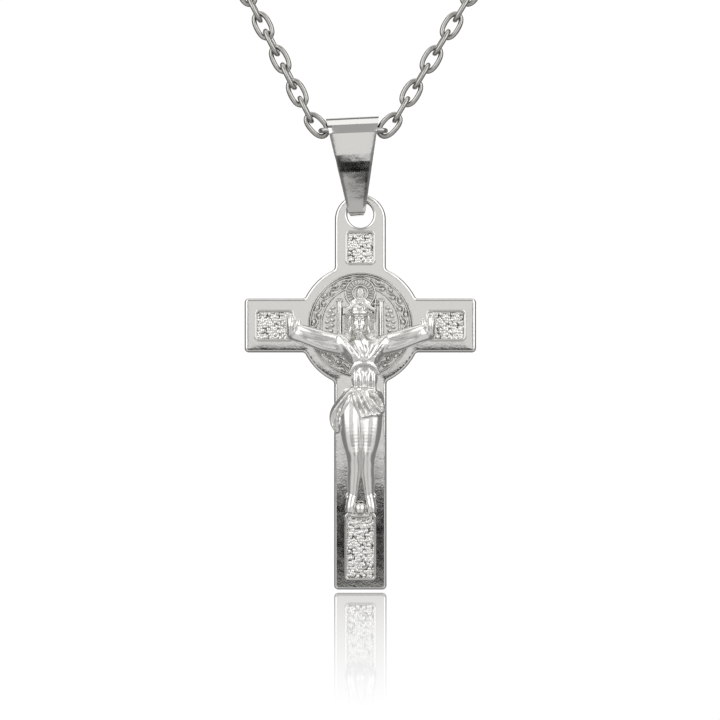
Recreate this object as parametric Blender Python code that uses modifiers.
"""Crucifix pendant on a cable chain: cross plate with a medal, cast figure, folded bail, links and clasp.

Metres, +Z up, +X to the right, the figure faces -Y. The origin is the middle of the line that the two
chain ends hang from. Every moving piece is parented to an empty that lies on its joint's axis.
"""

import math

import bmesh
import bpy
from mathutils import Matrix, Vector

MM = 0.001

# Where the pendant hangs
MEDAL_DROP = 31.28 * MM  # from the line of the chain ends down to the medal's centre
GAP = 0.04 * MM  # between pieces that are soldered or lie on each other

# Cross plate, measured from the medal's centre
CROSS_SPAN = 20.0 * MM
CROSS_BOTTOM = -22.81 * MM
ARM_HEIGHT = 4.6 * MM
STEM_WIDTH = 4.42 * MM
DISC_RADIUS = 5.35 * MM
DOME_CENTRE = 9.13 * MM
PLATE_THICKNESS = 1.2 * MM
RIM_ROUNDING = 0.24 * MM
CORNER_RADIUS = 0.38 * MM
INNER_FILLET = 0.35 * MM
EYELET_RADIUS = 1.11 * MM
EYELET_CENTRE = 9.56 * MM
FRONT = -PLATE_THICKNESS / 2

# Sunk panels: centre x, centre z, width, height
PANEL_DEPTH = 0.26 * MM
PANEL_DRAFT = 0.10 * MM
PANEL_CORNER = 0.22 * MM
PANELS = {
    "top": (0.0, 6.69 * MM, 2.25 * MM, 2.6 * MM),
    "left": (-7.4 * MM, 0.0, 3.1 * MM, 2.35 * MM),
    "right": (7.4 * MM, 0.0, 3.1 * MM, 2.35 * MM),
    "bottom": (0.0, -19.06 * MM, 2.35 * MM, 5.45 * MM),
}

# Medals
MEDAL_RADIUS = 4.45 * MM
MEDAL_RECESS = 0.42 * MM
MEDAL_BORDER = 0.14 * MM  # width of the raised border line
MEDAL_RING = 3.42 * MM  # radius of the raised ring inside the ornament band
MEDAL_FIELD = 0.2 * MM  # how deep the field lies below the border
BACK_MEDAL_RADIUS = 4.2 * MM
BACK_MEDAL_RISE = 0.15 * MM

# Bail: a tapered strip folded into a drop-shaped loop
BAIL_STRIP = 0.36 * MM
BAIL_TOP_RADIUS = 1.3 * MM
BAIL_TOP_CENTRE = 16.39 * MM
BAIL_FOOT_RADIUS = 0.97 * MM
BAIL_FOOT_CENTRE = 10.98 * MM
BAIL_WIDTH_TOP = 4.72 * MM
BAIL_WIDTH_FOOT = 1.34 * MM
BAIL_FOOT_X = -0.29 * MM
BAIL_LEAN = math.radians(2.7)
BAIL_EDGE = 0.07 * MM
CROSS_PIVOT = 10.3 * MM

# Chain links, an oval of round wire
WIRE = 0.48 * MM
LINK_LENGTH = 2.70 * MM
LINK_WIDTH = 1.66 * MM
LINK_END_RADIUS = 0.52 * MM  # of the wire's centre line round each end

# Chain run, measured from the medal's centre
ARM_LINKS = 9
LEVEL_STEP = 1.45 * MM
LEFT_LEAN = math.radians(27)
RIGHT_LEAN = math.radians(31)
LOW_LEVEL = 17.95 * MM  # where the second lowest and the lowest link of each arm meet
LOW_LEFT = -4.35 * MM
LOW_RIGHT = 3.10 * MM
MIDDLE_LEVEL = 16.85 * MM
MIDDLE_JOINTS = (-3.14 * MM, -1.46 * MM, 0.20 * MM, 1.90 * MM)
BEND_OUT = 0.06 * MM  # where the chain bends, the lowest links' ends lie further out
BEND_DROP = 0.17 * MM  # and lower than the ends of the level links inside them

# End fittings
RING_WIRE = 0.5 * MM
RING_STEP = 1.73 * MM
RING_INNER = 2.06 * MM
END_RING_WIRE = 0.8 * MM
END_RING_INNER = 2.9 * MM
CLASP_THICKNESS = 1.9 * MM
CLASP_EYE_HOLE = 0.62 * MM
CLASP_EYE_RADIUS = 1.2 * MM
CLASP_EYE_SHARE = 0.45  # of the claw's thickness that is left at its eye
CLASP_HOOK_CENTRE = 5.4 * MM
CLASP_HOOK_OUTER = 2.4 * MM
CLASP_HOOK_INNER = 1.45 * MM
CLASP_PIVOT = (1.3 * MM, 3.05 * MM)
CLASP_KNUCKLE = 0.66 * MM
CLASP_LEVER_THICKNESS = 0.8 * MM
CLASP_SLOT = 0.92 * MM
CLASP_SLOT_LENGTH = 2.8 * MM
CLASP_PIN_RADIUS = 0.26 * MM
CLASP_PIN_CLEARANCE = 0.04 * MM

COLOURS = {
    "silver": ((0.87, 0.87, 0.86, 1), 0.16),
    "steel": ((0.50, 0.50, 0.49, 1), 0.28),
}


# ---------------------------------------------------------------- scene helpers


def clear_scene():
    for obj in list(bpy.data.objects):
        bpy.data.objects.remove(obj, do_unlink=True)


def make_collection(name):
    collection = bpy.data.collections.new(name)
    bpy.context.scene.collection.children.link(collection)
    return collection


def make_material(name, metal):
    colour, roughness = COLOURS[metal]
    material = bpy.data.materials.new(name)
    material.use_nodes = True
    shader = material.node_tree.nodes["Principled BSDF"]
    shader.inputs["Base Color"].default_value = colour
    shader.inputs["Metallic"].default_value = 1.0
    shader.inputs["Roughness"].default_value = roughness
    return material


def add_object(name, data, collection):
    obj = bpy.data.objects.new(name, data)
    collection.objects.link(obj)
    return obj


def pivot(name, x, z, parent):
    """An empty on a joint's axis, which runs along X or Y through it."""
    empty = bpy.data.objects.new(name, None)
    empty.empty_display_size = MM
    PARTS.objects.link(empty)
    empty.parent = parent
    empty.location = Vector((x, 0, z)) - (at_of(parent) if parent else Vector())
    empty["at"] = (x, 0, z)
    return empty


def at_of(empty):
    return Vector(empty["at"])


def finish_part(obj, metal, parent, smooth=40):
    """Give a finished mesh its material, its shading and its place under its joint's empty."""
    move = Matrix.Translation(-at_of(parent)) @ obj.matrix_world
    obj.data.transform(move)
    obj.matrix_world = Matrix.Identity(4)
    obj.parent = parent
    obj.data.materials.clear()
    obj.data.materials.append(make_material(obj.name, metal))
    obj.data.shade_smooth()
    obj.data.set_sharp_from_angle(angle=math.radians(smooth))
    return obj


def mesh_from(obj, weld=0.002 * MM):
    """Replace a curve, or an object with modifiers, by its plain welded mesh in world space."""
    bpy.context.view_layer.update()
    graph = bpy.context.evaluated_depsgraph_get()
    mesh = bpy.data.meshes.new_from_object(obj.evaluated_get(graph))
    mesh.transform(obj.matrix_world)
    shape = bmesh.new()
    shape.from_mesh(mesh)
    bmesh.ops.remove_doubles(shape, verts=shape.verts, dist=weld)
    bmesh.ops.recalc_face_normals(shape, faces=shape.faces)
    shape.to_mesh(mesh)
    shape.free()
    name = obj.name
    collection = obj.users_collection[0]
    bpy.data.objects.remove(obj, do_unlink=True)
    return add_object(name, mesh, collection)


def boolean(obj, cutter, operation):
    modifier = obj.modifiers.new(operation.title(), "BOOLEAN")
    modifier.operation = operation
    modifier.solver = "EXACT"
    modifier.object = cutter
    return modifier


def make_cutter(obj):
    for collection in list(obj.users_collection):
        collection.objects.unlink(obj)
    CUTTERS.objects.link(obj)
    obj.hide_render = True
    obj.display_type = "WIRE"
    return obj


# ---------------------------------------------------------------- outlines


def arc(centre, radius, start, end, steps):
    """Points along an arc in the XZ plane, degrees from +X towards +Z."""
    points = []
    for i in range(steps + 1):
        angle = math.radians(start + (end - start) * i / steps)
        points.append((centre[0] + radius * math.cos(angle), centre[1] + radius * math.sin(angle)))
    return points


def fillet(before, corner, after, radius, steps=3):
    """Points that round a corner of an outline, tangent to both of its sides."""
    here = Vector(corner)
    one = (Vector(before) - here).normalized()
    two = (Vector(after) - here).normalized()
    half = one.angle(two) / 2
    start = here + one * (radius / math.tan(half))
    centre = here + (one + two).normalized() * (radius / math.sin(half))
    turn = (start - centre).angle_signed(here + two * (radius / math.tan(half)) - centre)
    spoke = start - centre
    points = []
    for i in range(steps + 1):
        # angle_signed is clockwise positive, a 2D rotation is counter-clockwise positive
        rotated = Matrix.Rotation(-turn * i / steps, 2) @ spoke
        points.append(tuple(centre + rotated))
    return points


def rounded_rectangle(width, height, radius, steps=3):
    x = width / 2
    z = height / 2
    corners = [(x, -z), (x, z), (-x, z), (-x, -z)]
    points = []
    for i, corner in enumerate(corners):
        points += fillet(corners[i - 1], corner, corners[(i + 1) % 4], radius, steps)
    return points


def flat_curve(name, loops, thickness, rounding, collection, steps=1):
    """A flat outline in the XZ plane as a filled 2D curve, with rounded front and back edges."""
    curve = bpy.data.curves.new(name, "CURVE")
    curve.dimensions = "2D"
    curve.fill_mode = "BOTH"
    curve.extrude = thickness / 2 - rounding
    curve.bevel_depth = rounding
    curve.bevel_resolution = steps
    curve.offset = -rounding
    for loop in loops:
        spline = curve.splines.new("POLY")
        spline.points.add(len(loop) - 1)
        for point, (x, z) in zip(spline.points, loop):
            point.co = (x, z, 0, 1)
        spline.use_cyclic_u = True
    obj = add_object(name, curve, collection)
    obj.matrix_world = Matrix.Rotation(math.pi / 2, 4, "X")
    return obj


# ---------------------------------------------------------------- cross plate


def quarter_outline():
    """The upper right quarter of the cross, from the arm's end to the stem beside the dome."""
    arm = ARM_HEIGHT / 2
    half_stem = STEM_WIDTH / 2
    arm_join = math.degrees(math.asin(arm / DISC_RADIUS))
    stem_join = math.degrees(math.acos(half_stem / DISC_RADIUS))
    disc = arc((0, 0), DISC_RADIUS, arm_join, stem_join, 9)
    tip = (CROSS_SPAN / 2, arm)
    stem_top = (half_stem, DOME_CENTRE)
    points = fillet((tip[0], 0), tip, disc[0], CORNER_RADIUS)
    points += fillet(tip, disc[0], disc[1], INNER_FILLET)
    points += disc[1:-1]
    points += fillet(disc[-2], disc[-1], stem_top, INNER_FILLET)
    return points


def cross_outline():
    half_stem = STEM_WIDTH / 2
    quarter = quarter_outline()
    dome = arc((0, DOME_CENTRE), half_stem, 0, 180, 16)
    foot = (half_stem, CROSS_BOTTOM)
    foot_corner = fillet((-half_stem, CROSS_BOTTOM), foot, (half_stem, 0), CORNER_RADIUS)
    upper_left = [(-x, z) for x, z in reversed(quarter)]
    lower_left = [(-x, -z) for x, z in quarter]
    left_foot = [(-x, z) for x, z in reversed(foot_corner)]
    lower_right = [(x, -z) for x, z in reversed(quarter)]
    return quarter + dome + upper_left + lower_left + left_foot + foot_corner + lower_right


def drafted_cutter(name, panel):
    """A panel's cutter: wider at the face than at the floor, so that the walls have draft."""
    x, z, width, height = panel
    shape = bmesh.new()
    ring = []
    for px, pz in rounded_rectangle(width, height, PANEL_CORNER):
        ring.append(shape.verts.new((x + px, FRONT + PANEL_DEPTH, z + pz)))
    floor = shape.faces.new(ring)
    pulled = bmesh.ops.extrude_face_region(shape, geom=[floor])
    wide = [v for v in pulled["geom"] if isinstance(v, bmesh.types.BMVert)]
    reach = 2 * PANEL_DEPTH
    grow = 2 * PANEL_DRAFT * reach / PANEL_DEPTH
    scale = Vector((1 + grow / width, 1, 1 + grow / height))
    middle = Matrix.Translation((-x, 0, -z))
    bmesh.ops.translate(shape, verts=wide, vec=(0, -reach, 0))
    bmesh.ops.scale(shape, verts=wide, vec=scale, space=middle)
    bmesh.ops.recalc_face_normals(shape, faces=shape.faces)
    mesh = bpy.data.meshes.new(name)
    shape.to_mesh(mesh)
    shape.free()
    return make_cutter(add_object(name, mesh, CUTTERS))


def disc_cutter(name, radius, depth, face):
    """A round recess, cut from the face at this y towards the middle of the plate."""
    shape = bmesh.new()
    bmesh.ops.create_cone(
        shape, cap_ends=True, segments=56, radius1=radius, radius2=radius, depth=2 * depth
    )
    bmesh.ops.rotate(shape, verts=shape.verts, matrix=Matrix.Rotation(math.pi / 2, 3, "X"))
    bmesh.ops.translate(shape, verts=shape.verts, vec=(0, face, 0))
    mesh = bpy.data.meshes.new(name)
    shape.to_mesh(mesh)
    shape.free()
    return make_cutter(add_object(name, mesh, CUTTERS))


def make_cross_plate(parent):
    eyelet = arc((0, EYELET_CENTRE), EYELET_RADIUS, 0, 345, 23)
    plate = flat_curve(
        "cross_plate", [cross_outline(), eyelet], PLATE_THICKNESS, RIM_ROUNDING, PARTS
    )
    plate = mesh_from(plate)
    for side, panel in PANELS.items():
        boolean(plate, drafted_cutter("panel_cutter_" + side, panel), "DIFFERENCE")
    front = disc_cutter("front_medal_cutter", MEDAL_RADIUS + GAP, MEDAL_RECESS, FRONT)
    back = disc_cutter("back_medal_cutter", BACK_MEDAL_RADIUS + GAP, GAP + BACK_MEDAL_RISE, -FRONT)
    boolean(plate, front, "DIFFERENCE")
    boolean(plate, back, "DIFFERENCE")
    plate = mesh_from(plate)
    plate.data.transform(TO_MEDAL)
    return finish_part(plate, "silver", parent, smooth=30)


# ---------------------------------------------------------------- medals


def turned(name, profile, y, facing):
    """A turned disc about the Y axis. The profile runs from the axis at its face, out and back."""
    mesh = bpy.data.meshes.new(name)
    edges = [(i, i + 1) for i in range(len(profile) - 1)]
    mesh.from_pydata([(r, 0, h) for r, h in profile], edges, [])
    obj = add_object(name, mesh, PARTS)
    screw = obj.modifiers.new("Turn", "SCREW")
    screw.steps = 48
    screw.render_steps = 48
    screw.use_merge_vertices = True
    screw.merge_threshold = 0.001 * MM
    obj.matrix_world = Matrix.Translation((0, y, 0)) @ Matrix.Rotation(facing * math.pi / 2, 4, "X")
    obj = mesh_from(obj)
    obj.data.transform(TO_MEDAL)
    return obj


def make_medal(parent):
    """The front medal: a raised border line, a sunk ornament band, a raised ring and a sunk field."""
    edge = MEDAL_RADIUS
    ring = MEDAL_RING
    line = MEDAL_BORDER
    deep = -MEDAL_FIELD
    profile = [
        (0, deep),
        (ring - line, deep),
        (ring - line / 2, 0),
        (ring + line / 2, 0),
        (ring + line, deep),
        (edge - 2 * line, deep),
        (edge - 1.4 * line, 0),
        (edge - 0.3 * line, 0),
        (edge, -0.3 * line),
        (edge, GAP - MEDAL_RECESS),
        (0, GAP - MEDAL_RECESS),
    ]
    medal = turned("medal", profile, FRONT, 1)
    return finish_part(medal, "silver", parent, smooth=30)


def make_back_medal(parent):
    """The plain disc on the back, which stands a little proud of the plate."""
    edge = BACK_MEDAL_RADIUS
    rise = BACK_MEDAL_RISE
    profile = [(0, rise), (edge - rise, rise), (edge - 0.3 * rise, 0.7 * rise), (edge, 0)]
    profile += [(edge, -rise), (0, -rise)]
    disc = turned("back_medal", profile, -FRONT, -1)
    return finish_part(disc, "silver", parent, smooth=30)


# ---------------------------------------------------------------- figure

# Limbs of the figure in millimetres from the medal's centre: x, y, z and radius. The back of the
# figure is cut flat where it lies on the plate.
FLATNESS = 0.72
TORSO = [(0.2, -1.5, -1.1, 0.85), (0.2, -1.6, -2.1, 1.6), (0.22, -1.65, -3.2, 1.66),
         (0.24, -1.5, -4.4, 1.35), (0.26, -1.45, -5.4, 1.28), (0.2, -1.45, -6.4, 1.75),
         (0.15, -1.45, -7.4, 1.8)]
NECK = [(0.1, -1.5, -1.4, 0.7), (0.0, -1.6, 0.2, 0.65)]
HEAD = [(-0.05, -1.6, 1.1, 0.86), (-0.05, -1.65, 0.7, 1.08), (-0.06, -1.85, 0.0, 0.95),
        (-0.06, -2.0, -0.6, 0.66), (-0.06, -2.05, -1.05, 0.32)]
BROW_BAND = [(-1.0, -1.6, 0.9, 0.2), (-0.75, -2.35, 1.05, 0.2), (-0.05, -2.65, 1.1, 0.22),
             (0.65, -2.35, 1.05, 0.2), (0.9, -1.6, 0.9, 0.2)]
HAIR = [(-1.0, -1.35, 1.0, 0.38), (-1.1, -1.35, 0.1, 0.42), (-1.12, -1.4, -0.95, 0.34)]
CHEST = [(0.35, -2.25, -2.4, 0.6), (0.95, -2.2, -2.15, 0.7), (1.6, -1.8, -1.75, 0.55)]
RIB_ARCH = [(-0.95, -2.0, -4.1, 0.3), (-0.5, -2.35, -3.35, 0.36), (0.22, -2.45, -3.0, 0.34),
            (0.95, -2.35, -3.35, 0.36), (1.4, -2.0, -4.1, 0.3)]
ARM = [(1.1, -1.45, -1.95, 1.1), (2.1, -1.35, -1.62, 1.0), (3.2, -1.25, -1.28, 0.98),
       (4.1, -1.2, -1.02, 1.0), (5.0, -1.15, -0.75, 0.94), (5.7, -1.15, -0.55, 0.72)]
PALM = [(6.1, -1.05, -1.15, 0.34), (6.12, -1.15, -0.4, 0.5), (6.1, -1.2, 0.4, 0.45),
        (6.05, -1.1, 0.9, 0.3)]
THUMB = [(5.95, -1.3, 0.0, 0.34), (5.55, -1.5, 0.7, 0.3)]
THIGH = [(0.78, -1.35, -7.0, 1.2), (0.76, -1.5, -8.6, 1.2), (0.62, -1.75, -10.2, 0.94),
         (0.52, -1.95, -11.3, 0.74), (0.52, -1.5, -12.6, 0.68), (0.62, -1.25, -13.8, 0.62),
         (0.74, -1.2, -14.8, 0.46), (0.86, -1.5, -15.5, 0.46), (0.94, -1.65, -16.0, 0.38)]
CLOTH = [(0.1, -1.45, -5.75, 1.5), (0.1, -1.55, -6.6, 1.98), (0.12, -1.5, -7.6, 2.1),
         (0.15, -1.5, -8.4, 1.85), (0.3, -1.6, -8.9, 1.35)]
FOLDS = [
    [(-0.8, -2.35, -5.4, 0.3), (-0.5, -2.75, -6.5, 0.36), (0.15, -2.85, -7.9, 0.32)],
    [(-0.1, -2.5, -5.4, 0.3), (0.3, -2.85, -6.5, 0.36), (1.05, -2.6, -7.75, 0.32)],
    [(0.7, -2.4, -5.5, 0.3), (1.15, -2.55, -6.4, 0.36), (1.9, -2.1, -7.4, 0.32)],
]
KNOT = [(-1.3, -1.9, -5.9, 0.5), (-1.9, -1.6, -7.2, 0.75), (-2.1, -1.3, -8.4, 0.62),
        (-1.95, -1.2, -9.2, 0.36)]
VOXEL = 0.11 * MM
FIGURE_FACES = 4000


def limb(points, mirror=False):
    """A tapered tube with round ends through points with a radius each, flattened along Y."""
    side = -1 if mirror else 1
    curve = bpy.data.curves.new("limb", "CURVE")
    curve.dimensions = "3D"
    curve.bevel_depth = MM
    curve.bevel_resolution = 4
    curve.resolution_u = 6
    curve.use_fill_caps = True
    spline = curve.splines.new("NURBS")
    spline.points.add(len(points) - 1)
    spline.order_u = 3
    spline.use_endpoint_u = True
    for point, (x, y, z, radius) in zip(spline.points, points):
        point.co = (side * x * MM, y * MM / FLATNESS, z * MM, 1)
        point.radius = radius
    tube = mesh_from(add_object("limb", curve, PARTS))
    shapes = [tube]
    for x, y, z, radius in (points[0], points[-1]):
        shape = bmesh.new()
        bmesh.ops.create_uvsphere(shape, u_segments=20, v_segments=12, radius=radius * MM)
        end = Vector((side * x * MM, y * MM / FLATNESS, z * MM))
        bmesh.ops.translate(shape, verts=shape.verts, vec=end)
        mesh = bpy.data.meshes.new("limb_end")
        shape.to_mesh(mesh)
        shape.free()
        shapes.append(add_object("limb_end", mesh, PARTS))
    for obj in shapes:
        obj.data.transform(Matrix.Diagonal((1, FLATNESS, 1, 1)))
    return shapes


def join(name, shapes):
    """Put several closed meshes into one object, without merging them."""
    together = bmesh.new()
    for obj in shapes:
        together.from_mesh(obj.data)
        bpy.data.objects.remove(obj, do_unlink=True)
    mesh = bpy.data.meshes.new(name)
    together.to_mesh(mesh)
    together.free()
    return add_object(name, mesh, PARTS)


def make_corpus(parent):
    """The figure as one casting: limbs melted together, thinned out and cut flat at the back."""
    shapes = []
    for points in (TORSO, NECK, HEAD, BROW_BAND, RIB_ARCH, CLOTH, KNOT, *FOLDS):
        shapes += limb(points)
    for points in (HAIR, CHEST, ARM, PALM, THUMB, THIGH):
        shapes += limb(points)
        shapes += limb(points, mirror=True)
    figure = join("corpus", shapes)
    melt = figure.modifiers.new("Melt", "REMESH")
    melt.mode = "VOXEL"
    melt.voxel_size = VOXEL
    soften = figure.modifiers.new("Soften", "SMOOTH")
    soften.iterations = 2
    figure = mesh_from(figure)
    thin = figure.modifiers.new("Thin", "DECIMATE")
    thin.ratio = min(1.0, FIGURE_FACES / (2 * len(figure.data.polygons)))
    figure = mesh_from(figure)
    shape = bmesh.new()
    bmesh.ops.create_cube(shape, size=60 * MM)
    bmesh.ops.translate(shape, verts=shape.verts, vec=(0, FRONT - GAP + 30 * MM, 0))
    mesh = bpy.data.meshes.new("figure_back_cutter")
    shape.to_mesh(mesh)
    shape.free()
    boolean(figure, make_cutter(add_object("figure_back_cutter", mesh, CUTTERS)), "DIFFERENCE")
    figure = mesh_from(figure)
    figure.data.transform(TO_MEDAL)
    return finish_part(figure, "silver", parent, smooth=60)


def make_foot_rest(parent):
    """The small rounded ledge under the feet, soldered to the stem."""
    outline = arc((-0.02 * MM, -15.62 * MM), 0.5 * MM, 30, 150, 8)
    outline += [(-0.62 * MM, -16.5 * MM), (0.58 * MM, -16.5 * MM)]
    ledge = flat_curve("foot_rest", [outline], 1.1 * MM, 0.1 * MM, PARTS)
    ledge = mesh_from(ledge)
    ledge.data.transform(Matrix.Translation((0, FRONT - GAP - 0.55 * MM, 0)))
    ledge.data.transform(TO_MEDAL)
    return finish_part(ledge, "silver", parent)


# ---------------------------------------------------------------- bail


def drop_outline(offset):
    """The bail's side view at this distance outside its inner face: two arcs and their tangents."""
    top = BAIL_TOP_RADIUS + offset
    foot = BAIL_FOOT_RADIUS + offset
    rise = BAIL_TOP_CENTRE - BAIL_FOOT_CENTRE
    tilt = math.degrees(math.asin((top - foot) / rise))
    outline = arc((0, BAIL_TOP_CENTRE), top, -tilt, 180 + tilt, 16)
    outline += arc((0, BAIL_FOOT_CENTRE), foot, 180 + tilt, 360 - tilt, 12)
    return outline


def make_bail(parent):
    """The folded strip: its side view pulled across its width, then narrowed towards the foot."""
    foot = BAIL_FOOT_CENTRE - BAIL_FOOT_RADIUS - BAIL_STRIP
    top = BAIL_TOP_CENTRE + BAIL_TOP_RADIUS + BAIL_STRIP
    loops = [drop_outline(BAIL_STRIP), drop_outline(0)]
    strip = flat_curve("bail", loops, 2 * MM, 0, PARTS)
    strip = mesh_from(strip)
    strip.data.transform(Matrix.Rotation(math.pi / 2, 4, "Z"))
    for vertex in strip.data.vertices:
        share = (vertex.co.z - foot) / (top - foot)
        width = BAIL_WIDTH_FOOT + (BAIL_WIDTH_TOP - BAIL_WIDTH_FOOT) * share
        vertex.co.x *= width / (2 * MM)
    soft = strip.modifiers.new("Edges", "BEVEL")
    soft.width = BAIL_EDGE
    soft.segments = 2
    soft.limit_method = "ANGLE"
    soft.angle_limit = math.radians(50)
    strip = mesh_from(strip)
    turn = Matrix.Translation((0, 0, foot)) @ Matrix.Rotation(-BAIL_LEAN, 4, "Y")
    strip.data.transform(turn @ Matrix.Translation((0, 0, -foot)))
    strip.data.transform(Matrix.Translation((BAIL_FOOT_X, 0, 0)))
    strip.data.transform(TO_MEDAL)
    return finish_part(strip, "silver", parent)


# ---------------------------------------------------------------- chain


def oval():
    """The centre line of a link's wire: an oval of four arcs, its length along +Z."""
    half_length = (LINK_LENGTH - WIRE) / 2
    half_width = (LINK_WIDTH - WIRE) / 2
    end = LINK_END_RADIUS
    reach = half_length - end
    side = (reach**2 + half_width**2 - end**2) / (2 * (half_width - end))
    half_turn = math.degrees(math.atan2(side - half_width, reach))
    bow = 90 - half_turn
    points = arc((0, reach), end, 90 - half_turn, 90 + half_turn, 6)
    points += arc((side - half_width, 0), side, 180 - bow, 180 + bow, 2)[1:-1]
    points += arc((0, -reach), end, 270 - half_turn, 270 + half_turn, 6)
    points += arc((half_width - side, 0), side, -bow, bow, 2)[1:-1]
    return points


def wire_loop(name, points, wire, sides=2):
    """A closed loop of round wire in the XZ plane."""
    curve = bpy.data.curves.new(name, "CURVE")
    curve.dimensions = "3D"
    curve.bevel_depth = wire / 2
    curve.bevel_resolution = sides
    spline = curve.splines.new("POLY")
    spline.points.add(len(points) - 1)
    for point, (x, z) in zip(spline.points, points):
        point.co = (x, 0, z, 1)
    spline.use_cyclic_u = True
    return mesh_from(add_object(name, curve, PARTS))


def between(upper, lower, edge_on):
    """Place a link from the point where it hangs to the point that it carries."""
    along = Vector((upper[0] - lower[0], 0, upper[1] - lower[1]))
    lean = math.atan2(along.x, along.z)
    middle = Vector(((upper[0] + lower[0]) / 2, 0, (upper[1] + lower[1]) / 2))
    place = Matrix.Translation(middle) @ Matrix.Rotation(lean, 4, "Y")
    if edge_on:
        place = place @ Matrix.Rotation(math.pi / 2, 4, "Z")
    return TO_MEDAL @ place


def make_link(name, upper, lower, edge_on, parent):
    link = wire_loop(name, oval(), WIRE)
    link.data.transform(between(upper, lower, edge_on))
    return finish_part(link, "steel", parent, smooth=60)


def arm_points(low_x, lean):
    """Where the links of one arm meet, from the end fitting down to the lowest link's lower end."""
    step = math.copysign(LEVEL_STEP * math.tan(lean), low_x)
    points = [(low_x + i * step, LOW_LEVEL + i * LEVEL_STEP) for i in range(ARM_LINKS)]
    ring = math.copysign(RING_STEP * math.tan(lean), low_x)
    points.append((points[-1][0] + ring, points[-1][1] + RING_STEP))
    return points[::-1]


def bar_level(z, face_on_is_lower):
    """The height of the end bar that a pair of links turns about, for links that meet at z."""
    rise = WIRE / 2 * math.cos((LEFT_LEAN + RIGHT_LEAN) / 2)
    return z + rise if face_on_is_lower else z - rise


def make_arm(side, low_x, lean, end_x):
    """One arm of the chain: its jump ring and its links, each on the pivot it hangs from."""
    points = arm_points(low_x, lean)
    x, z = points[0]
    ring_pivot = pivot("ring_" + side + "_pivot", x, bar_level(z, False) - MEDAL_DROP, ROOT)
    circle = arc((0, 0), (RING_INNER + RING_WIRE) / 2, 0, 342, 19)
    ring = wire_loop("jump_ring_" + side, circle, RING_WIRE)
    ring.data.transform(between(points[0], points[1], True))
    finish_part(ring, "steel", ring_pivot, smooth=60)
    points.append((end_x + math.copysign(BEND_OUT, end_x), MIDDLE_LEVEL - BEND_DROP))
    parent = ring_pivot
    for i in range(1, ARM_LINKS + 1):
        face_on = i % 2 == 1
        x, z = points[i]
        name = f"link_{side}_{i}"
        parent = pivot(name + "_pivot", x, bar_level(z, face_on) - MEDAL_DROP, parent)
        make_link(name, points[i], points[i + 1], not face_on, parent)
    return parent


def make_middle(parent):
    """The three level links under the bail. The second, face on, carries it."""
    level = MIDDLE_LEVEL
    for i in range(3):
        start = (MIDDLE_JOINTS[i], level)
        end = (MIDDLE_JOINTS[i + 1], level)
        name = f"link_middle_{i + 1}"
        parent = pivot(name + "_pivot", start[0], level - MEDAL_DROP, parent)
        make_link(name, start, end, i != 1, parent)
        if i == 1:
            bail_parent = parent
    return bail_parent


# ---------------------------------------------------------------- end fittings


def end_frame(contact, lean):
    """The frame of an end fitting that stands on the jump ring's top: local +Z leads away."""
    return TO_MEDAL @ Matrix.Translation((contact[0], 0, contact[1])) @ Matrix.Rotation(lean, 4, "Y")


def make_end_ring(contact):
    radius = (END_RING_INNER + END_RING_WIRE) / 2
    ring = wire_loop("end_ring", arc((0, END_RING_INNER / 2), radius, 0, 345, 23), END_RING_WIRE)
    ring.data.transform(end_frame(contact, RIGHT_LEAN))
    return finish_part(ring, "steel", ROOT, smooth=60)


def clasp_outline():
    """The claw: eye at the bottom, shoulder for the lever, and a hook that is open on the right.

    The hook's end is cut along the path of the lever's tip, so the lever can pass inside it."""
    eye = (0, CLASP_EYE_HOLE)
    hook = (0, CLASP_HOOK_CENTRE + CLASP_EYE_HOLE)
    outline = arc(eye, CLASP_EYE_RADIUS, 30, -210, 16)
    outline += arc(hook, CLASP_HOOK_OUTER, 222, 32, 20)
    outline += arc(hook, CLASP_HOOK_INNER, 50, 292, 20)
    shoulder = CLASP_EYE_HOLE + CLASP_PIVOT[1]
    outline += arc((CLASP_PIVOT[0], shoulder), CLASP_KNUCKLE, 100, -50, 8)
    return outline


def thin_towards_eye(body):
    """Narrow the claw's thickness from the shoulder down to its eye, which the jump ring holds."""
    low = 2 * CLASP_EYE_HOLE
    high = CLASP_PIVOT[1]
    for vertex in body.data.vertices:
        share = min(1.0, max(0.0, (vertex.co.z - low) / (high - low)))
        vertex.co.y *= CLASP_EYE_SHARE + (1 - CLASP_EYE_SHARE) * share


def make_clasp_body():
    hole = arc((0, CLASP_EYE_HOLE), CLASP_EYE_HOLE, 0, 345, 23)
    body = flat_curve("clasp_body", [clasp_outline(), hole], CLASP_THICKNESS, 0.2 * MM, PARTS)
    body = mesh_from(body)
    thin_towards_eye(body)
    px = CLASP_PIVOT[0]
    pz = CLASP_PIVOT[1] + CLASP_EYE_HOLE
    shape = bmesh.new()
    size = Matrix.Diagonal((CLASP_SLOT_LENGTH, CLASP_SLOT, CLASP_SLOT_LENGTH, 1))
    middle = Matrix.Translation((px, 0, pz + CLASP_SLOT_LENGTH / 8))
    bmesh.ops.create_cube(shape, size=1, matrix=middle @ size)
    mesh = bpy.data.meshes.new("clasp_slot_cutter")
    shape.to_mesh(mesh)
    shape.free()
    boolean(body, make_cutter(add_object("clasp_slot_cutter", mesh, CUTTERS)), "DIFFERENCE")
    drill = pin_shape("clasp_drill", CLASP_PIN_RADIUS + CLASP_PIN_CLEARANCE, 2 * CLASP_THICKNESS)
    boolean(body, make_cutter(drill), "DIFFERENCE")
    body = mesh_from(body)
    body.data.transform(CLASP_FRAME)
    return finish_part(body, "steel", ROOT)


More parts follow.
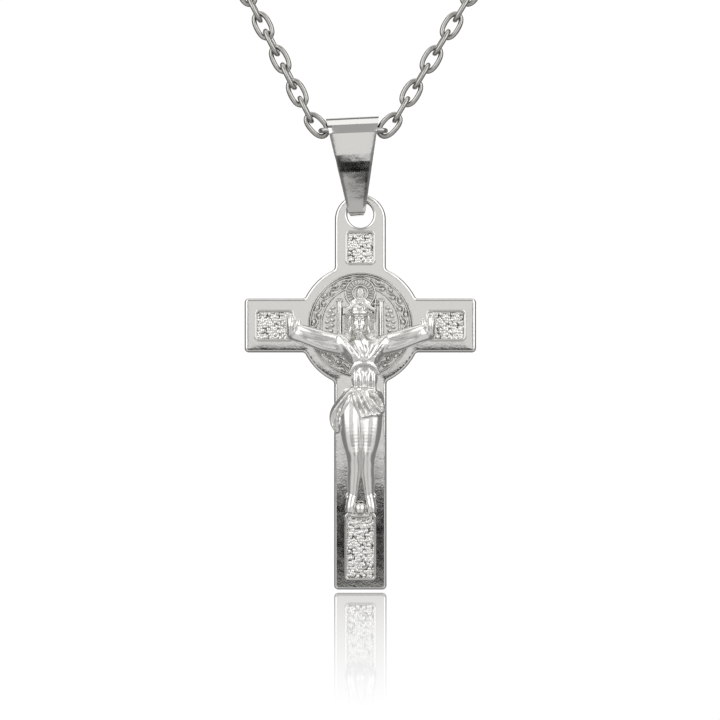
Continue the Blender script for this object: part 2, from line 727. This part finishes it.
def pin_shape(name, radius, length):
    shape = bmesh.new()
    bmesh.ops.create_cone(
        shape, cap_ends=True, segments=20, radius1=radius, radius2=radius, depth=length
    )
    bmesh.ops.rotate(shape, verts=shape.verts, matrix=Matrix.Rotation(math.pi / 2, 3, "X"))
    x, z = CLASP_PIVOT
    bmesh.ops.translate(shape, verts=shape.verts, vec=(x, 0, z + CLASP_EYE_HOLE))
    mesh = bpy.data.meshes.new(name)
    shape.to_mesh(mesh)
    shape.free()
    return add_object(name, mesh, PARTS)


def make_clasp_pin():
    pin = pin_shape("clasp_pin", CLASP_PIN_RADIUS, CLASP_THICKNESS - 0.1 * MM)
    pin.data.transform(CLASP_FRAME)
    return finish_part(pin, "steel", ROOT)


def make_clasp_lever():
    """The sprung gate: a knuckle on the pin, an arm up to the hook's tip and a thumb tab."""
    hook = (0, CLASP_HOOK_CENTRE + CLASP_EYE_HOLE)
    px = CLASP_PIVOT[0]
    pz = CLASP_PIVOT[1] + CLASP_EYE_HOLE
    knuckle = CLASP_KNUCKLE - 0.08 * MM
    outline = arc((px, pz), knuckle, 190, 300, 6)
    outline += arc((px + 1.6 * MM, pz + 0.35 * MM), 0.3 * MM, -70, 90, 5)
    outline += arc(hook, CLASP_HOOK_OUTER - 0.05 * MM, -38, 24, 7)
    outline += arc(hook, CLASP_HOOK_INNER + 0.15 * MM, 40, -48, 8)
    lever = flat_curve("clasp_lever", [outline], CLASP_LEVER_THICKNESS, 0.1 * MM, PARTS)
    lever = mesh_from(lever)
    drill = pin_shape("lever_drill", CLASP_PIN_RADIUS + CLASP_PIN_CLEARANCE, 2 * CLASP_THICKNESS)
    boolean(lever, make_cutter(drill), "DIFFERENCE")
    lever = mesh_from(lever)
    lever.data.transform(CLASP_FRAME)
    axis = CLASP_FRAME @ Vector((px, 0, pz))
    lever_pivot = pivot("clasp_lever_pivot", axis.x, axis.z, ROOT)
    return finish_part(lever, "steel", lever_pivot)


# ---------------------------------------------------------------- assembly

clear_scene()
PARTS = make_collection("crucifix_pendant")
CUTTERS = make_collection("cutters")
TO_MEDAL = Matrix.Translation((0, 0, -MEDAL_DROP))
ROOT = pivot("hanging_line", 0, 0, None)
CLASP_FRAME = end_frame(arm_points(LOW_LEFT, LEFT_LEAN)[0], -LEFT_LEAN)

lowest_left = make_arm("left", LOW_LEFT, LEFT_LEAN, MIDDLE_JOINTS[0])
make_arm("right", LOW_RIGHT, RIGHT_LEAN, MIDDLE_JOINTS[-1])
bail_hanger = make_middle(lowest_left)
make_end_ring(arm_points(LOW_RIGHT, RIGHT_LEAN)[0])
make_clasp_body()
make_clasp_pin()
make_clasp_lever()

upper_bar = MIDDLE_LEVEL + (LINK_WIDTH - WIRE) / 2
bail_pivot = pivot("bail_pivot", MIDDLE_JOINTS[1], upper_bar - MEDAL_DROP, bail_hanger)
make_bail(bail_pivot)
cross_pivot = pivot("cross_pivot", 0, CROSS_PIVOT - MEDAL_DROP, bail_pivot)
make_cross_plate(cross_pivot)
make_medal(cross_pivot)
make_back_medal(cross_pivot)
make_corpus(cross_pivot)
make_foot_rest(cross_pivot)
